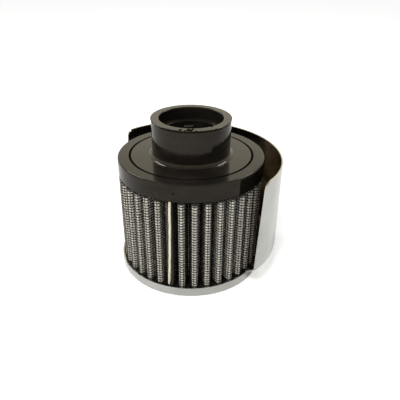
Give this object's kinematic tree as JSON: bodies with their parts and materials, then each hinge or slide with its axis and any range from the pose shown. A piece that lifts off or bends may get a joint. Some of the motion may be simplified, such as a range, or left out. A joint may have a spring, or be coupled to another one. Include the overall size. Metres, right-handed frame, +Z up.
{
  "type": "crankcase breather filter",
  "caption": "Clamp-on crankcase breather: black moulded neck and flange, round pleated wire-mesh pack, and a chromed cap that rises into a half-round splash shield.",
  "frame": {"origin": "centre of the cap's flat base, on the filter's axis", "axes": "+Z up along the neck's bore, out of its mouth; the shield's middle is at 50.6 degrees from +X towards +Y"},
  "size_m": [0.0875, 0.087, 0.0829],
  "materials": {
    "chromed_steel": "bright chrome plate on pressed steel",
    "black_potting": "poured black urethane",
    "mesh_wire": "woven aluminium wire with a black epoxy coat",
    "oiled_cotton": "undyed cream cotton gauze, lightly oiled",
    "seam_sealant": "cream sealant bead",
    "black_urethane": "very glossy moulded black urethane"
  },
  "bodies": {
    "root": {"shield_cap": "chromed_steel", "base_potting": "black_potting", "outer_wire_mesh": "mesh_wire", "cotton_gauze": "oiled_cotton", "inner_wire_mesh": "mesh_wire", "seam_bead": "seam_sealant", "neck_end_cap": "black_urethane"}
  },
  "joints": []
}
